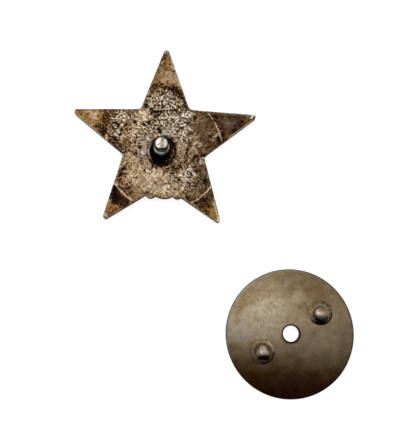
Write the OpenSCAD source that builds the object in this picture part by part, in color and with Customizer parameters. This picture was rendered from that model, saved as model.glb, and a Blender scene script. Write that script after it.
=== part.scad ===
// A breast star lying face down, with the round screw nut that fastens it lying beside it.
// Millimetres, +Z up. The front of the star faces down; the origin is on the surface that it
// lies on, at the middle of the box round the star and its nut.

/* [Star] */
// From the star's centre to the point where an arm's two sides would meet
arm_r = 26.5; // [24:0.1:30]
// From the centre to the bottom of the notch between two arms
notch_r = 11.1; // [10:0.1:12.5]
// Radius that rounds each arm's tip
tip_round = 0.8; // [0.4:0.1:1.4]
// Thickness of the star's plate, without the relief on its front
plate_t = 2.0; // [1.4:0.1:3]
// Turn of the star where it lies, counter-clockwise seen from above
star_turn = -1.5; // [-8:0.5:8]

/* [Relief on the front] */
// Width of the raised border round the star
border_w = 1.3; // [0.8:0.1:2]
// Height of the border above the plate
border_h = 0.5; // [0.2:0.1:0.8]
// Height above the plate of the ridges where they meet in the middle
ridge_h = 1.2; // [0.6:0.1:1.3]
// Radius of the round medallion
medallion_r = 9.0; // [7:0.1:9.8]
// Height of the medallion above the plate; the star lies on its face
medallion_h = 1.4; // [1.4:0.1:2]
// Radius of the groove that sets off the medallion's rim
groove_r = 7.6; // [6:0.1:8.2]
// Width of that groove
groove_w = 0.6; // [0.3:0.1:0.8]
// Depth of that groove
groove_d = 0.4; // [0.2:0.1:0.6]

/* [Scroll at the foot] */
// Width over the three lobes that fill the lowest notch
scroll_w = 9.9; // [8:0.1:11]
// How far the lobes reach below the bottom of the notch
scroll_drop = 3.55; // [3:0.05:4.5]
// How far the scroll lies to the right of the star's middle line
scroll_shift = 0.45; // [-0.6:0.05:0.6]
// Height of the scroll above the plate's front
scroll_h = 0.8; // [0.3:0.1:1.3]

/* [Screw post] */
// Radius of the post over its thread
post_r = 2.0; // [1.5:0.05:2.5]
// Height of the post above the star's back
post_h = 8.4; // [6:0.1:11]
// How far the post stands right of the star's centre
post_x = -0.4; // [-1:0.1:1]
// How far the post stands below the star's centre, towards the scroll
post_drop = 2.3; // [1:0.1:3]
// Bevel at the post's tip, in radius and in height
tip_bevel = 0.45; // [0.2:0.05:0.8]
// Radius of the round foot of the post
foot_r = 3.2; // [2.8:0.05:3.4]
// Thickness of that foot
foot_t = 0.4; // [0.3:0.05:0.6]
// Height of the flare from the foot to the post
flare_h = 0.7; // [0.3:0.1:1.2]
// Radius of the sunken seat in the star's back
seat_r = 3.75; // [3.6:0.05:4.2]
// Depth of that seat
seat_d = 0.9; // [0.6:0.1:1.1]

/* [Screw nut] */
// Radius of the nut's plate
nut_r = 16.5; // [15:0.1:19]
// Thickness of the nut's plate
nut_t = 1.0; // [0.8:0.05:1.4]
// How high the hollow under the plate rises in the middle
nut_rise = 1.8; // [1:0.1:2.6]
// Width of the flat land round the rim, on which the nut lies
nut_land = 0.4; // [0.2:0.1:0.8]
// Clearance in radius between the nut's hole and the post
thread_gap = 0.1; // [0.05:0.05:0.2]
// Width of the bevel round the top of the hole
hole_bevel = 0.35; // [0.1:0.05:0.5]

/* [Grip studs] */
// Distance of the right stud from the hole's middle
right_reach = 9.3; // [8:0.1:11]
// Direction of the right stud, counter-clockwise from +X
right_angle = 34.2; // [20:0.1:50]
// Distance of the left stud from the hole's middle
left_reach = 8.6; // [8:0.1:11]
// Direction of the left stud, counter-clockwise from +X
left_angle = 211; // [200:0.1:230]
// Radius of a stud's domed head
grip_r = 1.8; // [1.3:0.1:2.3]
// Height of the dome's centre above the stud's collar
grip_neck = 0.2; // [0:0.1:0.8]
// Radius of the stud's collar
collar_r = 3.15; // [2.6:0.05:3.6]
// Height of the collar above the nut's plate
collar_h = 0.35; // [0.2:0.05:0.6]
// Depth of the collar's seat in the nut's plate
collar_d = 0.35; // [0.2:0.05:0.5]

/* [Laid out] */
// How far right of the star's centre the nut's hole lies
lay_right = 32.4; // [30:0.1:45]
// How far below the star's centre the nut's hole lies
lay_below = 49.3; // [46:0.1:62]
// Gap between a foot or collar and its seat
fit_gap = 0.05; // [0.03:0.01:0.1]

/* [Hidden] */
$fn = 96;

// How wear has left each arm, from the top one counter-clockwise. Columns: the arm's reach, the
// rounding of its tip and the next notch, as shares of arm_r, tip_round and notch_r
REACH = 0;
ROUNDING = 1;
NOTCH = 2;
WORN = [
    [1.009, 1.07, 0.980],
    [0.996, 1.10, 0.996],
    [1.001, 0.92, 1.017],
    [1.005, 0.85, 1.010],
    [0.999, 0.88, 1.004]
];
ARMS = len(WORN);
// Half the angle between two arms
half_step = 180 / ARMS;
// From the centre square to the line of an arm's side
side_r = arm_r * sin(half_tip(arm_r));
// Straight pieces in the arc of a tip
TIP_STEPS = 8;
// How far one raised form runs into the next, so that they are one solid
sink = 0.2;
// How far a cutter reaches past the face that it opens
over = 1;

// The front and the back of the star's plate
front_z = medallion_h;
back_z = front_z + plate_t;

// The lobes of the scroll. Columns: place of the middle to the right, radius, both as shares
// of the scroll's width
PLACE = 0;
RADIUS = 1;
LOBES = [[-0.35, 0.146], [0, 0.414], [0.35, 0.146]];

// The spheres over and under the nut's dished plate share one centre
dish_land_r = nut_r - nut_land;
dish_r = (pow(dish_land_r, 2) + pow(nut_rise, 2)) / (2 * nut_rise);
crown_r = dish_r + nut_t;
dish_z = nut_rise - dish_r;
crown_z = nut_rise + nut_t;
hole_r = post_r + thread_gap;

// The middle of the box round the star and the nut
star_left = tip_mid(1) * cos(half_step / 2 - star_turn) + tip_r(1);
star_top = tip_mid(0) * cos(star_turn) + tip_r(0);
mid_x = (lay_right + nut_r - star_left) / 2;
mid_y = (star_top - lay_below - nut_r) / 2;

// A point at a distance and a direction from the centre
function polar(r, a) = [r * cos(a), r * sin(a)];

// The direction of an arm
function arm_angle(i) = 90 + i * 360 / ARMS;

// Half the angle of an arm's tip, for an arm of a given reach
function half_tip(r) = atan2(notch_r * sin(half_step), r - notch_r * cos(half_step));

// An arm's reach as worn, the radius of its tip, and the way from the centre to that arc's middle
function arm_reach(i) = arm_r * WORN[i][REACH];
function tip_r(i) = tip_round * WORN[i][ROUNDING];
function tip_mid(i) = arm_reach(i) - tip_r(i) / sin(half_tip(arm_reach(i)));

// The bottom of the notch that follows an arm, in a star shrunk by a factor
function notch_point(i, s = 1) = polar(notch_r * WORN[i][NOTCH] * s, arm_angle(i) + half_step);

// The arc round a tip runs from one side's square to the other's
function tip_arc(i) =
    let (swing = 90 - half_tip(arm_reach(i)))
    [for (k = [0:TIP_STEPS])
        polar(tip_mid(i), arm_angle(i))
        + polar(tip_r(i), arm_angle(i) - swing + 2 * swing * k / TIP_STEPS)];

// The star's outline, arm by arm
function star_points() = [for (i = [0:ARMS - 1]) each concat(tip_arc(i), [notch_point(i)])];

// A sharp star whose sides lie inside the outline's by a margin
function sharp_points(margin) =
    let (s = (side_r - margin) / side_r)
    [for (i = [0:ARMS - 1]) each [polar(arm_reach(i) * s, arm_angle(i)), notch_point(i, s)]];

module on_star() {
    translate([-mid_x, -mid_y, 0]) rotate([0, 0, star_turn]) children();
}

module on_post() {
    on_star() translate([post_x, -post_drop, back_z]) children();
}

module on_nut() {
    translate([lay_right - mid_x, -lay_below - mid_y, 0]) children();
}

// Square on the nut's dished top, at a distance and a direction from its hole
module on_dish(reach, angle) {
    on_nut() translate([0, 0, dish_z]) rotate([0, 0, angle])
        rotate([0, asin(reach / crown_r), 0]) translate([0, 0, crown_r]) children();
}

module scroll_lobes() {
    for (lobe = LOBES) {
        r = lobe[RADIUS] * scroll_w;
        translate([scroll_shift + lobe[PLACE] * scroll_w, r - notch_r - scroll_drop])
            circle(r = r);
    }
}

// Five ridges that run from the middle to the tips, and five valleys to the notches
module ridges() {
    rim = sharp_points(border_w);
    count = len(rim);
    base = [for (p = rim) [p[0], p[1], front_z + sink]];
    sides = [for (i = [0:count - 1]) [i, (i + 1) % count, count]];
    back = [for (i = [count - 1:-1:0]) i];
    polyhedron(points = concat(base, [[0, 0, front_z - ridge_h]]), faces = concat(sides, [back]));
}

module border() {
    translate([0, 0, front_z - border_h]) linear_extrude(border_h + sink)
        difference() {
            polygon(star_points());
            polygon(sharp_points(border_w));
        }
}

module medallion() {
    difference() {
        cylinder(r = medallion_r, h = front_z + sink);
        translate([0, 0, -over]) difference() {
            cylinder(r = groove_r + groove_w / 2, h = over + groove_d);
            cylinder(r = groove_r - groove_w / 2, h = over + groove_d);
        }
    }
}

module star_body() {
    color("#9b9080") difference() {
        on_star() union() {
            translate([0, 0, front_z]) linear_extrude(plate_t) union() {
                polygon(star_points());
                scroll_lobes();
            }
            border();
            ridges();
            medallion();
            translate([0, 0, front_z - scroll_h]) linear_extrude(scroll_h + sink) scroll_lobes();
        }
        on_post() translate([0, 0, -seat_d]) cylinder(r = seat_r, h = seat_d + over);
    }
}

module screw_post() {
    color("#b5b0a6") on_post() translate([0, 0, fit_gap - seat_d]) {
        reach = post_h + seat_d - fit_gap;
        cylinder(r = foot_r, h = foot_t);
        translate([0, 0, foot_t]) cylinder(r1 = foot_r - fit_gap, r2 = post_r, h = flare_h);
        cylinder(r = post_r, h = reach - tip_bevel);
        translate([0, 0, reach - tip_bevel])
            cylinder(r1 = post_r, r2 = post_r - tip_bevel, h = tip_bevel);
    }
}

module collar_seat(reach, angle) {
    on_dish(reach, angle) translate([0, 0, -collar_d])
        cylinder(r = collar_r + fit_gap, h = collar_d + over);
}

module nut_plate() {
    color("#85765f") difference() {
        on_nut() difference() {
            intersection() {
                translate([0, 0, dish_z]) sphere(r = crown_r);
                cylinder(r = nut_r, h = crown_z + over);
            }
            translate([0, 0, dish_z]) sphere(r = dish_r);
            cylinder(r = hole_r, h = crown_z + over);
            translate([0, 0, crown_z - hole_bevel])
                cylinder(r1 = hole_r, r2 = hole_r + hole_bevel + over, h = hole_bevel + over);
        }
        collar_seat(right_reach, right_angle);
        collar_seat(left_reach, left_angle);
    }
}

module grip_stud(reach, angle) {
    on_dish(reach, angle) {
        translate([0, 0, fit_gap - collar_d])
            cylinder(r = collar_r, h = collar_d - fit_gap + collar_h);
        cylinder(r = grip_r, h = collar_h + grip_neck);
        intersection() {
            translate([0, 0, collar_h + grip_neck]) sphere(r = grip_r);
            cylinder(r = grip_r + over, h = collar_h + grip_neck + grip_r + over);
        }
    }
}

module grip_stud_right() {
    color("#93836f") grip_stud(right_reach, right_angle);
}

module grip_stud_left() {
    color("#93836f") grip_stud(left_reach, left_angle);
}

star_body();
screw_post();
nut_plate();
grip_stud_right();
grip_stud_left();
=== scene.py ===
# %% [markdown]
# # A breast star and the nut that fastens it
# A five-pointed silver star lies face down on a pale table, so what we see is its back: rough
# from the strike, brown with old tarnish, pale where cloth and fingers have worn it. A screw
# post stands in a round seat near its middle. The post's nut, a dished round plate with two
# domed grips, lies beside it. The CAD model gives every size and place. This script dresses
# it: it works out finer surfaces with numpy, and gives them metal that has aged.

# %% Load the frame
import bpy
import numpy as np
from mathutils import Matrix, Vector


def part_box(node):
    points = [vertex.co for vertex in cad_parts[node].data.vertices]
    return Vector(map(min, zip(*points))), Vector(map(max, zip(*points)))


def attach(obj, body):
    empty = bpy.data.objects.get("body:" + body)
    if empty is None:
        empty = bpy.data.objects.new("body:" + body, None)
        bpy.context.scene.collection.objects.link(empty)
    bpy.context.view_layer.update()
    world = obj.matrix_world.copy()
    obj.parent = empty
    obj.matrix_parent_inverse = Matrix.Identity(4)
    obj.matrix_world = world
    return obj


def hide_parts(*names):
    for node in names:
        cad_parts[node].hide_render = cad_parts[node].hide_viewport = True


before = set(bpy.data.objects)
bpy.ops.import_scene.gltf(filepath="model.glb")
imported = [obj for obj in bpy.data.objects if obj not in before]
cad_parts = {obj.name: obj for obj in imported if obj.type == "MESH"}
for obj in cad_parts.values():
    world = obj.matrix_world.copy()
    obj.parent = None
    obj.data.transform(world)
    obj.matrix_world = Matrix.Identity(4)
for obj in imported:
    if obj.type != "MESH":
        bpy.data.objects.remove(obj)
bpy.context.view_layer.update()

# %% [markdown]
# ## Sizes
# The lengths below are in millimetres and repeat the ones that the CAD model was drawn with.
# Places come from the frame itself: the post's box gives its axis, and the nut's box its
# centre. The star's centre is a little above and to the right of the post, in the star's own
# slightly turned frame.

# %% Sizes and places
MM = 0.001

ARM_REACH = 26.5
NOTCH_REACH = 11.1
TIP_ROUND = 0.8
STAR_TURN = -1.5
FRONT_Z, BACK_Z = 1.4, 3.4
BORDER_W, BORDER_Z, RIDGE_Z, MEDALLION_R = 1.3, 0.9, 0.2, 9.0
GROOVE_R, GROOVE_W, GROOVE_Z, SCROLL_Z = 7.6, 0.6, 0.4, 0.6
# Each arm as worn, from the top one counter-clockwise: reach, rounding and next notch, as shares
WORN = np.array([(1.009, 1.07, 0.980), (0.996, 1.10, 0.996), (1.001, 0.92, 1.017),
                 (1.005, 0.85, 1.010), (0.999, 0.88, 1.004)])
# The lobes of the scroll: middle to the right, middle upwards, radius
LOBES = np.array([(-3.015, -13.205, 1.445), (0.45, -10.551, 4.099), (3.915, -13.205, 1.445)])
POST_AT = np.array([-0.4, -2.3])
SEAT_R, SEAT_DEPTH = 3.75, 0.9
POST_R, POST_H = 2.0, 8.4

NUT_R, NUT_T, NUT_RISE, NUT_LAND = 16.5, 1.0, 1.8, 0.4
DISH_R = ((NUT_R - NUT_LAND) ** 2 + NUT_RISE ** 2) / (2 * NUT_RISE)
CROWN_R = DISH_R + NUT_T
DISH_Z = NUT_RISE - DISH_R
COLLAR_R = 3.15

turn = np.radians(STAR_TURN)
TURNED = np.array([[np.cos(turn), -np.sin(turn)], [np.sin(turn), np.cos(turn)]])


def middle(node):
    """The middle of a node's box seen from above, in mm."""
    low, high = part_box(node)
    return np.array([low[0] + high[0], low[1] + high[1]]) / 2 / MM


STAR_AT = middle("screw_post") - TURNED @ POST_AT
NUT_AT = middle("nut_plate")
print("star's centre", STAR_AT.round(3), "nut's centre", NUT_AT.round(3))

# %% [markdown]
# ## From a grid of points to a closed piece
# Every surface here is a function of two parameters, worked out on a whole grid at once. A
# piece is made of several such grids that share their edges. We give each cell two
# triangles, weld the points that fall on the same place, and drop the triangles that the
# weld has shrunk to a line, as at a pole. What is left is one closed skin, and its volume
# tells us that the skin points outwards: a positive volume is right side out.

# %% Grids and welding
def cells(shape, first=0):
    """Two triangles a cell. Seen from outside, rows run across columns counter-clockwise."""
    rows, columns = shape
    at = first + np.arange(rows * columns).reshape(rows, columns)
    a, b, c, d = at[:-1, :-1], at[1:, :-1], at[1:, 1:], at[:-1, 1:]
    return np.concatenate([np.stack([a, b, c], -1), np.stack([a, c, d], -1)]).reshape(-1, 3)


def halving(fine, coarse, first_fine, first_coarse):
    """Joins a row of 2n + 1 points to one of n + 1 points with three triangles a pair."""
    a = first_fine + np.arange(0, fine - 1, 2)
    b = first_coarse + np.arange(coarse - 1)
    return np.concatenate([np.stack([a, b, a + 1], -1), np.stack([a + 1, b, b + 1], -1),
                           np.stack([a + 1, b + 1, a + 2], -1)])


# Points weld where they round to the same step, with this many steps a mm. An edge stays sharp
# where its two faces turn by more than this.
WELD_STEPS, SHARP_FROM = 1e4, np.radians(48)


def build(name, node, slot, points, faces, **fields):
    """Welds points in mm into one mesh in metres, with each field as a value on its points."""
    points = points.reshape(-1, 3)
    keys = np.round(points * WELD_STEPS).astype(np.int64)
    _, first, where = np.unique(keys, axis=0, return_index=True, return_inverse=True)
    points, faces = points[first], where.reshape(-1)[faces]
    whole = (faces != np.roll(faces, 1, axis=1)).all(axis=1)
    faces = faces[whole]
    a, b, c = (points[faces[:, k]] for k in range(3))
    volume = np.einsum("ij,ij->", a, np.cross(b, c)) / 6
    mesh = bpy.data.meshes.new(name)
    mesh.from_pydata(points * MM, [], faces)
    mesh.shade_smooth()
    mesh.set_sharp_from_angle(angle=SHARP_FROM)
    for key, values in fields.items():
        layer = mesh.attributes.new(key, "FLOAT", "POINT")
        layer.data.foreach_set("value", values.ravel()[first].astype(np.float32))
    piece = bpy.data.objects.new(name, mesh)
    bpy.context.scene.collection.objects.link(piece)
    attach(piece, "root")
    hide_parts(node)
    print(f"{name}: {len(faces)} triangles, volume {volume:.1f} mm3")
    return piece


# %% [markdown]
# ## Roughness that repeats exactly
# A struck and corroded surface is rough at several sizes at once. We make such roughness from
# white noise: its spectrum keeps only the waves near one length, so we can say in millimetres
# how big the lumps are. A fixed seed gives the same lumps in each run. The noise is looked up
# at any place, between its samples, and can be drawn out along a direction.

# %% Noise of one size
NOISE_SPAN = 56.0
NOISE_CELLS = 1024
NEARLY_ZERO = 1e-9


def turned(x, y, degrees):
    """x and y in a frame that is turned: x cos + y sin, and y cos - x sin."""
    c, s = np.cos(np.radians(degrees)), np.sin(np.radians(degrees))
    return x * c + y * s, y * c - x * s


def noise(seed, wave, x, y, spread=0.35, turn=0.0, stretch=1.0):
    """White noise times a bell round one wavelength (on a log scale), scaled to deviation 1, and
    read at x, y by weighing the four samples round it. It repeats past its edge."""
    white = np.random.default_rng(seed).standard_normal((NOISE_CELLS, NOISE_CELLS))
    step = NOISE_SPAN / NOISE_CELLS
    along = np.fft.rfftfreq(NOISE_CELLS, step)[None, :]
    across = np.fft.fftfreq(NOISE_CELLS, step)[:, None]
    waves = np.maximum(np.hypot(along, across) * wave, NEARLY_ZERO)
    kept = np.fft.rfft2(white) * np.exp(-(np.log(waves) / spread) ** 2)
    field = np.fft.irfft2(kept, s=(NOISE_CELLS, NOISE_CELLS))
    field = field / field.std()
    u, v = turned(x, y, turn)
    u, v = u / stretch / NOISE_SPAN * NOISE_CELLS, v / NOISE_SPAN * NOISE_CELLS
    i, j = np.floor(u).astype(int), np.floor(v).astype(int)
    p, q = u - i, v - j
    i0, i1, j0, j1 = (k % NOISE_CELLS for k in (i, i + 1, j, j + 1))
    return ((field[j0, i0] * (1 - p) + field[j0, i1] * p) * (1 - q)
            + (field[j1, i0] * (1 - p) + field[j1, i1] * p) * q)


def ease(a, b, x):
    """0 at a, 1 at b, and smooth between."""
    t = np.clip((x - a) / (b - a), 0, 1)
    return t * t * (3 - 2 * t)


def spot(x, y, at_x, at_y, rx, ry, turn, soft):
    """1 inside a turned ellipse and 0 outside it, with an edge that is soft by a share."""
    u, v = turned(x - at_x, y - at_y, turn)
    return ease(1 + soft, 1 - soft, np.hypot(u / rx, v / ry))


def paint(fields, patches, x, y):
    """Lays patches on fields, one over the other. A patch gives a spot's place, half sizes, turn
    and softness, then a value for each field, which moves there by the spot's share."""
    for patch in patches:
        share = spot(x, y, *patch[:6])
        for field, value in zip(fields, patch[6:]):
            field += (value - field) * share


def trace(x, y, width, soft, points):
    """1 on a broken line of a width and 0 away from it, by the distance to its nearest piece."""
    near = np.full(np.shape(x), np.inf)
    points = np.array(points, float)
    for a, b in zip(points[:-1], points[1:]):
        run = b - a
        t = np.clip(((x - a[0]) * run[0] + (y - a[1]) * run[1]) / (run @ run), 0, 1)
        near = np.minimum(near, np.hypot(x - a[0] - t * run[0], y - a[1] - t * run[1]))
    return ease(width / 2 * (1 + soft), width / 2 * (1 - soft), near)


# %% [markdown]
# ## The star's outline
# An outline that can be seen whole from the centre is a function: the distance R at each
# direction. The sharp star is ten straight sides. Worn tips are arcs that cut its points
# short, the scroll at the foot adds three round lobes, and a little metal fills each notch.
# Polishing takes an even strip off every side. From R and its slope we also get the distance
# of any point from the edge, which the rounded edge and the front's border need.

# %% The outline as a function of direction
ARMS = len(WORN)
HALF_STEP = np.pi / ARMS
ARM_ANGLE = np.pi / 2 + 2 * HALF_STEP * np.arange(ARMS)
REACH, TIP_R, NOTCH_R = ARM_REACH * WORN[:, 0], TIP_ROUND * WORN[:, 1], NOTCH_REACH * WORN[:, 2]
TIP_HALF = np.arctan2(NOTCH_REACH * np.sin(HALF_STEP), REACH - NOTCH_REACH * np.cos(HALF_STEP))
TIP_MID = REACH - TIP_R / np.sin(TIP_HALF)
# Polishing has taken this much off every side, which moves tips and notches by more
EDGE_WEAR = 0.12
REACH = REACH - EDGE_WEAR / np.sin(TIP_HALF)
NOTCH_R = NOTCH_R - EDGE_WEAR / np.sin(TIP_HALF + HALF_STEP)
TIP_R = TIP_R - EDGE_WEAR
NOTCH_FILL, NOTCH_FILL_W = 0.27, 0.37


def on_circle(angle, middle_r, middle_angle, r):
    """How far a ray from the centre runs to the far side of a circle, or 0 where it misses."""
    off = np.mod(angle - middle_angle + np.pi, 2 * np.pi) - np.pi
    room = r ** 2 - (middle_r * np.sin(off)) ** 2
    reach = middle_r * np.cos(off) + np.sqrt(np.maximum(room, 0))
    return np.where((room > 0) & (np.cos(off) > 0), reach, 0), off


def sharp_outline(angle):
    """The ray's length to the side between the tip and the notch that it passes between."""
    step = np.mod(angle - ARM_ANGLE[0], 2 * np.pi) / HALF_STEP
    side = np.minimum(step.astype(int), 2 * ARMS - 1)
    corner_r = np.stack([REACH, NOTCH_R], 1).ravel()
    corner_a = ARM_ANGLE[0] + HALF_STEP * np.arange(2 * ARMS)
    r0, a0 = corner_r[side], corner_a[side]
    r1, a1 = corner_r[(side + 1) % (2 * ARMS)], a0 + HALF_STEP
    return r0 * r1 * np.sin(a1 - a0) / (r0 * np.sin(angle - a0) + r1 * np.sin(a1 - angle))


def outline(angle):
    """The sharp star with filled notches, worn tips and the scroll's lobes."""
    angle = np.mod(angle - ARM_ANGLE[0], 2 * np.pi) + ARM_ANGLE[0]
    r = sharp_outline(angle)
    for i in range(ARMS):
        to_notch = np.abs(np.mod(angle - ARM_ANGLE[i] - HALF_STEP + np.pi, 2 * np.pi) - np.pi)
        r = r + NOTCH_FILL * np.exp(-to_notch * NOTCH_R[i] / NOTCH_FILL_W)
        arc, off = on_circle(angle, TIP_MID[i], ARM_ANGLE[i], TIP_R[i])
        touch_x, touch_y = TIP_R[i] * np.sin(TIP_HALF[i]), TIP_R[i] * np.cos(TIP_HALF[i])
        touch = np.arctan2(touch_y, TIP_MID[i] + touch_x)
        r = np.where(np.abs(off) < touch, arc, r)
    for x, y, lobe_r in LOBES:
        r = np.maximum(r, on_circle(angle, np.hypot(x, y), np.arctan2(y, x), lobe_r)[0])
    return r


# R and the cosine of its side's lean, R over the root of R squared plus its slope squared, as a
# table with a row every 0.05 degrees
TABLE_A = np.linspace(0, 2 * np.pi, 7201)
TABLE_R = outline(TABLE_A)
TABLE_LEAN = TABLE_R / np.hypot(TABLE_R, np.gradient(TABLE_R, TABLE_A))


def from_edge(x, y):
    """The distance from the outline: the ray's spare length times the cosine of its lean."""
    angle = np.mod(np.arctan2(y, x), 2 * np.pi)
    lean = np.interp(angle, TABLE_A, TABLE_LEAN)
    return (np.interp(angle, TABLE_A, TABLE_R) - np.hypot(x, y)) * lean


print("outline reaches from", TABLE_R.min().round(2), "to", TABLE_R.max().round(2), "mm")
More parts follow.
